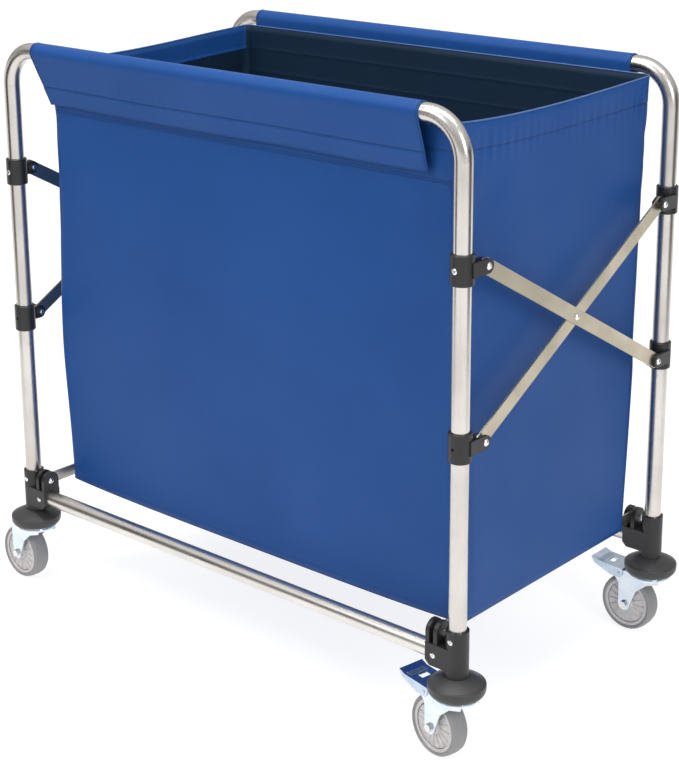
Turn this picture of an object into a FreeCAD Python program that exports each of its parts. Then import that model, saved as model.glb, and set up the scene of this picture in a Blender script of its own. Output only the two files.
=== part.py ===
import FreeCAD, Part
import os
import re
import Sketcher
from FreeCAD import Placement, Rotation, Vector

# A folding laundry cart. X runs along the cart, Y from the front frame to the rear frame, Z up.
# The origin is on the floor, midway between the four legs. All sizes are millimetres.

doc = FreeCAD.newDocument("LaundryCart")
sheet = doc.addObject("Spreadsheet::Sheet", "Sizes")

sizes = [
    ("cartLength", 980, "between leg axes along X"),
    ("cartDepth", 550, "between the front and rear frames along Y"),
    ("barHeight", 998, "axis of the top bars"),
    ("tubeDiameter", 28, "every frame tube"),
    ("tubeWall", 1.2, "every frame tube"),
    ("bendRadius", 62, "centre line of the top bends"),
    ("railHeight", 176, "axis of the bottom rails"),
    ("upperPivotHeight", 782, "fixed clamps"),
    ("lowerPivotHeight", 515, "sliding clamps, cart open"),
    ("collarWall", 4, "nylon round a tube, clamps and brackets"),
    ("collarHeight", 46, "clamp collar"),
    ("slideClearance", 0.3, "sliding clamp on its leg, radius"),
    ("pivotReach", 37, "leg axis to arm pivot along Y"),
    ("pivotOutboard", 11, "leg axis to the arm planes along X"),
    ("clampEarWall", 5, "each clamp ear"),
    ("clampEarRadius", 11, "rounded end of a clamp ear"),
    ("armGap", 8, "between the two ears of a clamp"),
    ("armWidth", 24, "flat bar arms"),
    ("armWall", 3, "flat bar arms and struts"),
    ("armSpacing", 0.5, "between the two crossing arms"),
    ("boltDiameter", 6, "pivot bolts"),
    ("pinClearance", 0.2, "arm and strut holes on a bolt, radius"),
    ("rivetDiameter", 4.8, "pop rivets"),
    ("socketTop", 223, "top of the corner bracket"),
    ("socketBottom", 147, "underside of the corner bracket"),
    ("railSocketStart", 20, "leg axis to the end of the rail"),
    ("clevisHeight", 211, "strut bolt"),
    ("clevisInset", 37, "leg axis to the middle of the strut slot"),
    ("clevisGap", 8, "strut slot"),
    ("clevisEarWall", 7, "each bracket ear"),
    ("clevisEarRadius", 17, "rounded top of a bracket ear"),
    ("strutWidth", 20, "folding spreader struts"),
    ("strutSpacing", 1, "between the two lapped strut halves"),
    ("bumperDiameter", 90, "bumper disc"),
    ("bumperBottom", 119, "underside of the bumper disc"),
    ("plugFlange", 3, "stem plug flange under the tube end"),
    ("plugDepth", 45, "stem plug inside the tube"),
    ("stemDiameter", 12, "caster stem"),
    ("raceDiameter", 72, "caster swivel head"),
    ("raceWall", 2.7, "top plate of the swivel head"),
    ("crownTop", 113, "top face of the caster fork"),
    ("kingpinDiameter", 15.4, "swivel pin through the fork"),
    ("pinHeadRim", 4, "how far the swivel pin's head reaches past the pin"),
    ("pinHeadWall", 3.5, "swivel pin's head"),
    ("wheelDiameter", 100, "caster wheel"),
    ("wheelWidth", 32, "tyre width"),
    ("tyreDepth", 8, "tyre thickness over the hub rim"),
    ("trail", 38, "swivel axis to axle"),
    ("forkWall", 2.8, "fork sheet"),
    ("forkClearance", 2.2, "tyre side to fork leg"),
    ("axleDiameter", 8, "wheel bolt"),
    ("pedalReach", 106, "swivel axis to the tip of the brake pedal"),
    ("pedalPinInset", 50, "swivel axis to the pedal pin"),
    ("pedalPinHeight", 106, "pedal pin"),
    ("pedalWall", 2, "pedal sheet"),
    ("bagLeftInset", 49, "left legs' axes to the outer face of the left end of the bag"),
    ("bagRightInset", 28.5, "right legs' axes to the outer face of the right end of the bag"),
    ("bagTop", 985, "rim of the bag"),
    ("bagBottom", 203, "lower edge of the bag"),
    ("bagFloor", 223, "underside of the bag floor"),
    ("bagBottomGap", 50, "leg axis plane to the outer face of a side panel at the lower edge"),
    ("clothWall", 2, "stand-in thickness of the bag cloth"),
    ("flapInset", 9, "end of a bend to the end of the flap on the bar"),
    ("flapDrop", 90, "bar axis to the lower edge of a flap"),
    ("flapTuck", 28, "bar axis to the inner edge of a flap, between the bar and the bag"),
    ("flapSwing", 17, "degrees that the flap's hanging side swings in to the bag"),
    ("swivelFrontLeft", -3, "rest angle of the casters about Z, degrees"),
    ("swivelFrontRight", -10, "rest angle, degrees"),
    ("swivelRearLeft", 5, "rest angle, degrees"),
    ("swivelRearRight", 0, "rest angle, degrees"),
]
aliases = set()
for row, (alias, value, note) in enumerate(sizes, start=1):
    sheet.set(f"A{row}", alias)
    sheet.set(f"B{row}", str(value))
    sheet.set(f"C{row}", note)
    sheet.setAlias(f"B{row}", alias)
    aliases.add(alias)
doc.recompute()

# sizes worked out from the driving ones, as expressions
tubeRadius = "tubeDiameter / 2"
tubeBore = "(tubeDiameter / 2 - tubeWall)"
collarRadius = "(tubeDiameter / 2 + collarWall)"
boltRadius = "boltDiameter / 2"
holeRadius = "(boltDiameter / 2 + pinClearance)"
bumperTop = "socketBottom"
legFoot = "(socketBottom + plugFlange)"
armReach = "(cartDepth - 2 * pivotReach)"
armDrop = "(upperPivotHeight - lowerPivotHeight)"
armLength = f"sqrt({armReach} ^ 2 + {armDrop} ^ 2)"
armAngle = f"atan({armDrop} / {armReach})"
hubRadius = "(wheelDiameter / 2 - tyreDepth)"
forkInner = "(wheelWidth / 2 + forkClearance)"
forkOuter = "(wheelWidth / 2 + forkClearance + forkWall)"
raceBottom = "(bumperBottom - raceWall)"
strutLength = "cartDepth / 2"

sides = {"left": -1, "right": 1}
faces = {"front": -1, "rear": 1}
zero = ("0", "0", "0")
nodes = []


def formula(text):
    """Put the sheet's name before every alias of the sheet."""
    def named(word):
        return "Sizes." + word.group() if word.group() in aliases else word.group()

    return re.sub(r"[A-Za-z]\w*", named, text)


def number(text):
    result = sheet.evalExpression(formula(text))
    return float(getattr(result, "Value", result))


def bind(piece, **texts):
    for prop, text in texts.items():
        piece.setExpression(prop, formula(text))


def place(piece, at, turn=None, angle=None):
    """Put a piece at three expressions, turned by a fixed Rotation or by an angle expression about turn."""
    if isinstance(turn, Rotation):
        piece.Placement = Placement(Vector(), turn)
    elif turn is not None:
        piece.Placement = Placement(Vector(), Rotation(turn, number(angle)))
        piece.setExpression("Placement.Rotation.Angle", formula(angle))
    for axis, text in zip("xyz", at):
        if text != "0":
            piece.setExpression("Placement.Base." + axis, formula(text))


def node(piece, name):
    piece.Label = name
    nodes.append(piece)
    return piece


def makeBox(name, middle, size):
    piece = doc.addObject("Part::Box", name)
    bind(piece, Length=size[0], Width=size[1], Height=size[2])
    place(piece, [f"{m} - ({s}) / 2" for m, s in zip(middle, size)])
    return piece


along = {
    "x": Rotation(Vector(0, 1, 0), 90),
    "y": Rotation(Vector(1, 0, 0), -90),
    "z": Rotation(),
}


def makeCylinder(name, radius, length, start=zero, axis="z"):
    piece = doc.addObject("Part::Cylinder", name)
    bind(piece, Radius=radius, Height=length)
    place(piece, start, along[axis])
    return piece


def makePrism(name, radius, length, start=zero, axis="z"):
    piece = doc.addObject("Part::Prism", name)
    piece.Polygon = 6
    bind(piece, Circumradius=radius, Height=length)
    place(piece, start, along[axis])
    return piece


def fuse(name, pieces):
    piece = doc.addObject("Part::MultiFuse", name)
    piece.Shapes = pieces
    piece.Refine = True
    return piece


def cut(name, base, tools):
    piece = doc.addObject("Part::Cut", name)
    piece.Base = base
    piece.Tool = tools[0] if len(tools) == 1 else fuse(name + "Tools", tools)
    return piece


def group(name, pieces):
    piece = doc.addObject("Part::Compound", name)
    piece.Links = pieces
    return piece


def drawOutline(sketch, outline):
    """Draw a closed anticlockwise outline; a third value is the radius of an arc to the next point."""
    spots = [Vector(number(point[0]), number(point[1]), 0) for point in outline]
    for index, point in enumerate(outline):
        start = spots[index]
        end = spots[(index + 1) % len(spots)]
        if len(point) == 2:
            sketch.addGeometry(Part.LineSegment(start, end), False)
            continue
        radius = number(point[2])
        chord = end - start
        inward = Vector(-chord.y, chord.x, 0).normalize()
        centre = (start + end) / 2 + inward * (radius ** 2 - (chord.Length / 2) ** 2) ** 0.5
        circle = Part.Circle(centre, Vector(0, 0, 1), radius)
        sketch.addGeometry(Part.ArcOfCircle(circle, circle.parameter(start), circle.parameter(end)), False)
    for index, point in enumerate(outline):
        sketch.addConstraint(Sketcher.Constraint("Coincident", index, 2, (index + 1) % len(spots), 1))
        for axis, kind in enumerate(("DistanceX", "DistanceY")):
            which = sketch.addConstraint(Sketcher.Constraint(kind, -1, 1, index, 1, spots[index][axis]))
            sketch.setExpression(f"Constraints[{which}]", formula(point[axis]))
        if len(point) == 3:
            which = sketch.addConstraint(Sketcher.Constraint("Radius", index, number(point[2])))
            sketch.setExpression(f"Constraints[{which}]", formula(point[2]))


def sketchedBody(name, plane, outline):
    body = doc.addObject("PartDesign::Body", name)
    sketch = body.newObject("Sketcher::SketchObject", name + "Sketch")
    support = [feature for feature in body.Origin.OriginFeatures if feature.Role == plane][0]
    sketch.AttachmentSupport = [(support, "")]
    sketch.MapMode = "FlatFace"
    drawOutline(sketch, outline)
    return body, sketch


def turned(name, outline):
    """A body turned about Z from an outline of (radius, height) points."""
    body, sketch = sketchedBody(name, "XZ_Plane", outline)
    feature = body.newObject("PartDesign::Revolution", name + "Turn")
    feature.Profile = sketch
    feature.ReferenceAxis = (sketch, ["V_Axis"])
    feature.Angle = 360
    return body


def plate(name, plane, outline, thickness):
    """A body padded to both sides of a plane."""
    body, sketch = sketchedBody(name, plane, outline)
    pad = body.newObject("PartDesign::Pad", name + "Pad")
    pad.Profile = sketch
    pad.Midplane = True
    bind(pad, Length=thickness)
    return body


def legX(side, inset="0"):
    return f"{side} * (cartLength / 2 - ({inset}))"


def legY(face, inset="0"):
    return f"{face} * (cartDepth / 2 - ({inset}))"


# ---- frames ----

def makeHoop(name, radius, face):
    """Two legs, two bends and the bar of one inverted U, as a solid rod of the given radius."""
    straight = f"(barHeight - bendRadius - {legFoot})"
    parts = []
    for side in sides.values():
        parts.append(makeCylinder(name + "Leg", radius, straight, (legX(side), legY(face), legFoot)))
        bend = doc.addObject("Part::Torus", name + "Bend")
        bend.Angle3 = 90
        bind(bend, Radius1="bendRadius", Radius2=radius)
        upright = Rotation(Vector(1, 0, 0), 90)
        turn = upright if side > 0 else Rotation(Vector(0, 0, 1), 180).multiply(upright)
        place(bend, (legX(side, "bendRadius"), legY(face), "barHeight - bendRadius"), turn)
        parts.append(bend)
    barStart = (legX(-1, "bendRadius"), legY(face), "barHeight")
    parts.append(makeCylinder(name + "Bar", radius, "cartLength - 2 * bendRadius", barStart, "x"))
    return fuse(name, parts)


def makeTopFrame(name, face):
    hoop = cut(name, makeHoop(name + "Outer", tubeRadius, face), [makeHoop(name + "Inner", tubeBore, face)])
    return node(hoop, name)


def makeRail(name, face):
    length = "cartLength - 2 * railSocketStart"
    start = (legX(-1, "railSocketStart"), legY(face), "railHeight")
    outer = makeCylinder(name + "Outer", tubeRadius, length, start, "x")
    bore = makeCylinder(name + "Bore", tubeBore, length, start, "x")
    return node(cut(name, outer, [bore]), name)


# ---- fasteners, each drawn along Z with the underside of its head at the origin ----

boltHead = "boltDiameter * 0.95"
boltDome = "boltDiameter * 0.6"


def makeBolt(name, shank, at, turn, radius=boltRadius, head=boltHead, dome=boltDome):
    """A dome-headed bolt or solid rivet."""
    body = turned(name, [
        ("0", f"-({shank})"),
        (radius, f"-({shank})"),
        (radius, "0"),
        (head, "0", f"({head}) * 1.3"),
        (f"({head}) * 0.2", dome),
        ("0", dome),
    ])
    place(body, at, turn)
    return body


nutDepth = "boltDiameter * 0.75"


def makeNut(name, at, turn, hole=boltRadius, radius="boltDiameter", depth=nutDepth):
    """A hex nut that stands on its seat at the origin."""
    nut = cut(name, makePrism(name + "Hex", radius, depth), [makeCylinder(name + "Thread", hole, depth)])
    place(nut, at, turn)
    return nut


def makeRivet(name, at, turn):
    """A pop rivet: flat domed head, hollow where its mandrel broke off, and a shank as long as the wall."""
    body = turned(name, [
        ("rivetDiameter * 0.2", "-collarWall"),
        ("rivetDiameter / 2", "-collarWall"),
        ("rivetDiameter / 2", "0"),
        ("rivetDiameter * 0.95", "0"),
        ("rivetDiameter * 0.95", "rivetDiameter * 0.12"),
        ("rivetDiameter * 0.6", "rivetDiameter * 0.3"),
        ("rivetDiameter * 0.2", "rivetDiameter * 0.3"),
    ])
    place(body, at, turn)
    return body


def facingX(side):
    return Rotation(Vector(0, 1, 0), 90 * side)


def facingY(face):
    return Rotation(Vector(1, 0, 0), -90 * face)


# ---- nylon brackets, clamps and bumper discs ----

overcut = 1           # how far a cutting tool starts outside the material
ease = 2              # eased edges of stems and plugs
socketRivetDrop = 15  # below the top of the socket
socketRivetHeight = f"(socketTop - {socketRivetDrop})"
slotNear = "(clevisInset - clevisGap / 2)"
slotFar = "(clevisInset + clevisGap / 2)"
blockEnd = f"({slotFar} + clevisEarWall)"
socketSpan = "(socketTop - socketBottom)"
socketFoot = ("0", "0", "socketBottom")


def makeRivetHole(name, x, face, height):
    """A hole through one nylon wall, on the front or rear side of a socket."""
    start = (x, tubeRadius if face > 0 else "-" + collarRadius, height)
    return makeCylinder(name, "rivetDiameter / 2", "collarWall", start, "y")


def makeBracket(name, side, face):
    """Corner bracket, drawn with its leg socket at the origin and the rail running along +X."""
    socket = makeCylinder(name + "Socket", collarRadius, socketSpan, socketFoot)
    low = f"railHeight - {collarRadius}"
    high = f"railHeight + {collarRadius}"
    block = plate(name + "Block", "XZ_Plane", [
        ("0", low),
        (f"{blockEnd} - collarWall * 2", low),
        (blockEnd, f"{low} + collarWall * 2"),
        (blockEnd, high),
        ("0", high),
    ], "2 * " + collarRadius)
    solids = [socket, block]
    for step, start in (("Outer", f"{slotNear} - clevisEarWall"), ("Inner", slotFar)):
        middle = (f"{start} + clevisEarWall / 2", "0", "(clevisHeight + railHeight) / 2 + tubeDiameter / 4")
        ear = ("clevisEarWall", "2 * clevisEarRadius", "clevisHeight - railHeight - tubeDiameter / 2")
        solids.append(makeBox(name + step + "Ear", middle, ear))
        top = (start, "0", "clevisHeight")
        solids.append(makeCylinder(name + step + "Round", "clevisEarRadius", "clevisEarWall", top, "x"))
    outward = -side * face
    boltStart = (f"{slotNear} - clevisEarWall - {overcut}", "0", "clevisHeight")
    railEnd = ("railSocketStart", "0", "railHeight")
    tools = [
        makeCylinder(name + "Bore", tubeRadius, socketSpan, socketFoot),
        makeCylinder(name + "RailBore", tubeRadius, blockEnd, railEnd, "x"),
        makeCylinder(name + "BoltHole", boltRadius, blockEnd, boltStart, "x"),
        makeRivetHole(name + "TopHole", "0", outward, socketRivetHeight),
        makeRivetHole(name + "RailHole", slotNear, outward, "railHeight"),
    ]
    bracket = cut(name, fuse(name + "Solids", solids), tools)
    place(bracket, (legX(side), legY(face), "0"), Rotation(Vector(0, 0, 1), 180 if side > 0 else 0))
    return node(bracket, name)


clampTurns = {
    (1, -1): Rotation(),
    (1, 1): Rotation(Vector(1, 0, 0), 180),
    (-1, -1): Rotation(Vector(0, 1, 0), 180),
    (-1, 1): Rotation(Vector(0, 0, 1), 180),
}
earInside = "(pivotOutboard - armGap / 2 - clampEarWall)"
earOutside = "(pivotOutboard + armGap / 2 + clampEarWall)"


def makeClamp(name, side, face, height, bore):
    """A collar with two ears for the arms, drawn with its ears towards +Y and outboard towards +X."""
    edge = "collarWall / 3"
    collar = turned(name + "Collar", [
        (f"{tubeRadius} - {overcut}", "-collarHeight / 2"),
        (f"{collarRadius} - {edge}", "-collarHeight / 2"),
        (collarRadius, f"-collarHeight / 2 + {edge}"),
        (collarRadius, f"collarHeight / 2 - {edge}"),
        (f"{collarRadius} - {edge}", "collarHeight / 2"),
        (f"{tubeRadius} - {overcut}", "collarHeight / 2"),
    ])
    solids = [collar]
    for step, start in (("Inner", earInside), ("Outer", f"{earOutside} - clampEarWall")):
        root = f"{tubeRadius} + {overcut}"
        middle = (f"{start} + clampEarWall / 2", f"({root} + pivotReach) / 2", "0")
        ear = ("clampEarWall", f"pivotReach - ({root})", "2 * clampEarRadius")
        web = (f"{start} + clampEarWall / 2", f"({root}) / 2", "0")
        webSize = ("clampEarWall", root, "2 * clampEarRadius")
        solids.append(makeBox(name + step + "Ear", middle, ear))
        solids.append(makeBox(name + step + "Web", web, webSize))
        tip = (start, "pivotReach", "0")
        solids.append(makeCylinder(name + step + "Round", "clampEarRadius", "clampEarWall", tip, "x"))
    boltStart = ("-collarHeight", "pivotReach", "0")
    tools = [
        makeCylinder(name + "Bore", bore, "collarHeight", ("0", "0", "-collarHeight / 2")),
        makeCylinder(name + "BoltHole", boltRadius, "2 * collarHeight", boltStart, "x"),
        makeRivetHole(name + "RivetHole", "0", -1, "0"),
    ]
    clamp = cut(name, fuse(name + "Solids", solids), tools)
    place(clamp, (legX(side), legY(face), height), clampTurns[side, face])
    return node(clamp, name)


footInset = 4        # flat underside of a disc inside its rim
footRound = 14       # radius from the underside to the rim
bandLow = 9          # the rim's upright band, above the underside
bandHigh = 15
shoulderRise = 3     # rounded edge between the band and the domed top
shoulderRound = 3.2


def makeBumper(name, side, face):
    rim = "bumperDiameter / 2"
    shoulder = f"bumperBottom + {bandHigh} + {shoulderRise}"
    disc = turned(name, [
        ("stemDiameter / 2", "bumperBottom"),
        (f"{rim} - {footInset}", "bumperBottom", str(footRound)),
        (rim, f"bumperBottom + {bandLow}"),
        (rim, f"bumperBottom + {bandHigh}", str(shoulderRound)),
        (f"{rim} - {shoulderRise}", shoulder, "bumperDiameter"),
        (f"{collarRadius} + {overcut}", bumperTop),
        ("stemDiameter / 2", bumperTop),
    ])
    place(disc, (legX(side), legY(face), "0"))
    return disc


# ---- caster stems and their plugs inside the legs ----

raceBore = 5    # the swivel head's open middle, inside its rim
stemTop = "(socketBottom + plugFlange + plugDepth)"


def makeStem(name, side, face):
    """Stem, swivel head and swivel pin. The pin's head holds the fork up."""
    pin = "kingpinDiameter / 2"
    under = "crownTop - forkWall - slideClearance"
    stem = turned(name, [
        ("0", f"{under} - pinHeadWall"),
        (f"{pin} + pinHeadRim", f"{under} - pinHeadWall"),
        (f"{pin} + pinHeadRim", under),
        (pin, under),
        (pin, "crownTop + slideClearance"),
        (f"raceDiameter / 2 - {raceBore}", "crownTop + slideClearance"),
        (f"raceDiameter / 2 - {raceBore}", raceBottom),
        ("raceDiameter / 2", raceBottom),
        ("raceDiameter / 2", "bumperBottom"),
        ("stemDiameter / 2", "bumperBottom"),
        ("stemDiameter / 2", f"{stemTop} - {ease}"),
        (f"stemDiameter / 2 - {ease} / 2", stemTop),
        ("0", stemTop),
    ])
    place(stem, (legX(side), legY(face), "0"))
    return stem


def makePlug(name, side, face):
    plug = turned(name, [
        ("stemDiameter / 2", "socketBottom"),
        (tubeRadius, "socketBottom"),
        (tubeRadius, legFoot),
        (tubeBore, legFoot),
        (tubeBore, f"{legFoot} + plugDepth - {ease}"),
        (f"{tubeBore} - {ease}", f"{legFoot} + plugDepth"),
        ("stemDiameter / 2", f"{legFoot} + plugDepth"),
    ])
    place(plug, (legX(side), legY(face), "0"))
    return plug


# ---- scissor arms and spreader struts ----

pivotX = "(cartLength / 2 + pivotOutboard)"
armLift = "(armWall + armSpacing) / 2"


def makeBar(name, length, width, thickness, holes):
    """A flat bar along Y with round ends, centred on the origin, with holes at the given places."""
    flat = makeBox(name + "Flat", zero, (thickness, length, width))
    solids = [flat]
    for step, end in (("Low", f"-({length}) / 2"), ("High", f"({length}) / 2")):
        start = (f"-({thickness}) / 2", end, "0")
        solids.append(makeCylinder(name + step + "End", f"({width}) / 2", thickness, start, "x"))
    tools = []
    for where in holes:
        start = (f"-({thickness}) / 2 - {overcut}", where, "0")
        tools.append(makeCylinder(name + "Hole", holeRadius, f"({thickness}) + 2 * {overcut}", start, "x"))
    return cut(name, fuse(name + "Bar", solids), tools)


def makeArm(name, side, lift, slope):
    """An arm on one end of the cart; slope is -1 from the front clamp down, 1 from the front clamp up."""
    half = f"{armLength} / 2"
    arm = makeBar(name, armLength, "armWidth", "armWall", [f"-{half}", "0", half])
    height = "(upperPivotHeight + lowerPivotHeight) / 2"
    at = (f"{side} * ({pivotX} + {lift} * {armLift})", "0", height)
    place(arm, at, Vector(1, 0, 0), f"{slope} * {armAngle}")
    return node(arm, name)


def makeCrossRivet(name, side):
    """The rivet that joins two crossing arms, carried by the outer arm."""
    height = "(upperPivotHeight + lowerPivotHeight) / 2"
    reach = "(armSpacing / 2 + armWall)"
    outer = (f"{side} * ({pivotX} + {reach})", "0", height)
    inner = (f"{side} * ({pivotX} - {reach} - slideClearance)", "0", height)
    head = makeBolt(name + "Head", f"2 * {reach} + slideClearance", outer, facingX(side))
    tail = makeBolt(name + "Tail", "armSpacing", inner, facingX(-side), dome="boltDiameter * 0.3")
    return fuse(name, [head, tail])


def makeStrut(name, side, face, lift):
    """Half a spreader strut, with half of the centre rivet on the face turned from the other half."""
    bar = makeBar(name + "Bar", strutLength, "strutWidth", "armWall", [f"{face} * ({strutLength}) / 2"])
    out = side * lift
    centre = (f"{out} * armWall / 2", f"{-face} * ({strutLength}) / 2", "0")
    head = makeBolt(name + "Rivet", "armWall", centre, facingX(out), dome="boltDiameter * 0.3")
    strut = fuse(name, [bar, head])
    x = f"{side} * (cartLength / 2 - clevisInset + {lift} * (armWall + strutSpacing) / 2)"
    place(strut, (x, f"{face} * cartDepth / 4", "clevisHeight"))
    return node(strut, name)


# ---- casters, drawn with the swivel axis at the origin and the wheel trailing towards -X ----

axleHeight = "wheelDiameter / 2"
pedalLift = 0.5     # pedal sheet above the fork's crown, besides the sliding clearance
pedalInner = f"({forkOuter} + slideClearance)"
pedalOuter = f"({forkOuter} + slideClearance + pedalWall)"
pedalTop = f"(crownTop + slideClearance + {pedalLift} + pedalWall)"

# a fork leg's side view: "back" and "forward" from the axle, "rise" above it, "drop" below the crown
heelBack = 12
heelRise = 38
footBack = 11
footForward = 10
footDrop = 4
kneeForward = 23
kneeRise = 30
hipForward = 44
hipDrop = 15
crownInset = 7      # front edge of the leg inside the swivel head's rim
tailBack = 8        # a braked fork runs on behind the pedal pin
tailDrop = 4.5
bossWall = 7        # round boss past the axle


def makeFork(name, braked):
    front = f"raceDiameter / 2 - {crownInset}"
    rear = [(f"-trail - {heelBack}", "crownTop")]
    if braked:
        rear = [
            ("-pedalPinInset", "crownTop"),
            (f"-pedalPinInset - {heelBack}", f"crownTop - {tailDrop}"),
            (f"-pedalPinInset - {tailBack}", f"crownTop - {hipDrop}"),
        ]
    outline = [
        (f"-trail - {footBack}", axleHeight),
        (f"-trail + {footForward}", f"{axleHeight} - {footDrop}"),
        (f"-trail + {kneeForward}", f"{axleHeight} + {kneeRise}"),
        (f"-trail + {hipForward}", f"crownTop - {hipDrop}"),
        (front, f"crownTop - {crownInset}"),
        (front, "crownTop"),
        *rear,
        (f"-trail - {heelBack}", f"{axleHeight} + {heelRise}"),
    ]
    under = ("0", "0", "crownTop - forkWall")
    bridge = (f"-(trail + {heelBack}) / 2", "0", "crownTop - forkWall / 2")
    bridgeSize = (f"trail + {heelBack}", f"2 * {forkOuter}", "forkWall")
    solids = [
        makeCylinder(name + "Crown", "raceDiameter / 2 - 1", "forkWall", under),
        makeBox(name + "Bridge", bridge, bridgeSize),
    ]
    for step, side in (("Near", -1), ("Far", 1)):
        leg = plate(name + step + "Leg", "XZ_Plane", outline, "forkWall")
        place(leg, ("0", f"{side} * ({forkInner} + forkWall / 2)", "0"))
        start = ("-trail", forkInner if side > 0 else "-" + forkOuter, axleHeight)
        boss = makeCylinder(name + step + "Boss", f"axleDiameter / 2 + {bossWall}", "forkWall", start, "y")
        solids.extend([leg, boss])
    across = f"2 * ({forkOuter} + {overcut})"
    near = f"-{forkOuter} - {overcut}"
    pinStart = ("0", "0", f"crownTop - forkWall - {overcut}")
    pinHole = "kingpinDiameter / 2 + slideClearance"
    tools = [
        makeCylinder(name + "PinHole", pinHole, "2 * forkWall", pinStart),
        makeCylinder(name + "AxleHole", "axleDiameter / 2", across, ("-trail", near, axleHeight), "y"),
    ]
    if braked:
        pedalPin = ("-pedalPinInset", near, "pedalPinHeight")
        tools.append(makeCylinder(name + "PedalHole", holeRadius, across, pedalPin, "y"))
    return cut(name, fuse(name + "Solids", solids), tools)


axleHead = "(axleDiameter * 0.6)"
axleNut = "(axleDiameter * 0.75)"
axleHex = "(axleDiameter * 0.85)"


def makeAxle(name):
    """Wheel bolt with a hex head, and its nut as a second solid."""
    start = ("-trail", f"-{forkOuter}", axleHeight)
    shank = makeCylinder(name + "Shank", "axleDiameter / 2", f"2 * {forkOuter} + axleDiameter", start, "y")
    headStart = ("-trail", f"-{forkOuter} - {axleHead}", axleHeight)
    hexHead = makePrism(name + "Head", axleHex, axleHead, headStart, "y")
    nutStart = ("-trail", forkOuter, axleHeight)
    nut = makeNut(name + "Nut", nutStart, along["y"], "axleDiameter / 2", axleHex, axleNut)
    return group(name, [fuse(name + "Bolt", [shank, hexHead]), nut])


hubSpokes = 8
ribWall = 1.6
bossGap = 0.7       # hub boss to fork leg
hubBoss = 8         # boss wall round the axle
bossFlare = 10      # where the boss meets the web
webLift = 1.5       # the web's faces below the hub's rim: by the boss
webEdge = 2         # and by the rim
grooveWall = 5      # the rim outside the ring groove
grooveDepth = 5
grooveFoot = 6      # the groove's inner side
rimInset = 2.5      # hub rim below the tyre's side


def makeHub(name):
    rim = f"(wheelWidth / 2 - {rimInset})"
    boss = f"({forkInner} - {bossGap})"
    bore = "axleDiameter / 2 - 1"
    bossRadius = f"axleDiameter / 2 + {hubBoss}"
    flareRadius = f"axleDiameter / 2 + {bossFlare}"
    webRadius = f"{hubRadius} - {grooveFoot}"
    rimRadius = f"{hubRadius} - {grooveWall}"
    hub = turned(name + "Turn", [
        (bore, f"-{boss}"),
        (bossRadius, f"-{boss}"),
        (flareRadius, f"-{rim} + {webLift}"),
        (webRadius, f"-{rim} + {webEdge}"),
        (webRadius, f"-{rim} + {grooveDepth}"),
        (rimRadius, f"-{rim} + {grooveDepth}"),
        (rimRadius, f"-{rim}"),
        (hubRadius, f"-{rim}"),
        (hubRadius, rim),
        (rimRadius, rim),
        (rimRadius, f"{rim} - {grooveDepth}"),
        (webRadius, f"{rim} - {grooveDepth}"),
        (webRadius, f"{rim} - {webEdge}"),
        (flareRadius, f"{rim} - {webLift}"),
        (bossRadius, boss),
        (bore, boss),
    ])
    solids = [hub]
    ribSize = (f"2 * ({webRadius} - 1)", str(ribWall), f"2 * {rim} - 1")
    for spoke in range(hubSpokes):
        rib = group(name + "RibTurned", [makeBox(name + "Rib", zero, ribSize)])
        place(rib, zero, Rotation(Vector(0, 0, 1), 180 * spoke / hubSpokes))
        solids.append(rib)
    boreRadius = "axleDiameter / 2 + slideClearance / 2"
    axleBore = makeCylinder(name + "Bore", boreRadius, "2 * wheelWidth", ("0", "0", "-wheelWidth"))
    hubSolid = cut(name + "Solid", fuse(name + "Ribbed", solids), [axleBore])
    place(hubSolid, ("-trail", "0", axleHeight), along["y"])
    return group(name, [hubSolid])


# the tyre's section: distances in from the tread and from the side
wallRise = 2
wallInset = 0.6
cornerRise = 4
shoulderDepth = 1.2
shoulderInset = 3.5
treadInset = 10


def makeTyre(name):
    half = "wheelWidth / 2"
    tread = "wheelDiameter / 2"
    tyre = turned(name + "Turn", [
        (hubRadius, f"-{half} + {rimInset}"),
        (f"{hubRadius} + {wallRise}", f"-{half} + {wallInset}"),
        (f"{tread} - {cornerRise}", f"-{half}"),
        (f"{tread} - {shoulderDepth}", f"-{half} + {shoulderInset}"),
        (tread, f"-{half} + {treadInset}"),
        (tread, f"{half} - {treadInset}"),
        (f"{tread} - {shoulderDepth}", f"{half} - {shoulderInset}"),
        (f"{tread} - {cornerRise}", half),
        (f"{hubRadius} + {wallRise}", f"{half} - {wallInset}"),
        (hubRadius, f"{half} - {rimInset}"),
    ])
    place(tyre, ("-trail", "0", axleHeight), along["y"])
    return group(name, [tyre])


# the brake pedal's sheet: the tread plate turns up behind the bend, the cheeks reach down to the pin
tipLength = 12
bendRise = 2.4
tipRise = 7
cheekBack = 16
cheekForward = 8
cheekDrop = 7
window = ("11", "17", "20")
windowInset = 32
treadRibs = 3
ribPitch = 4


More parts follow.
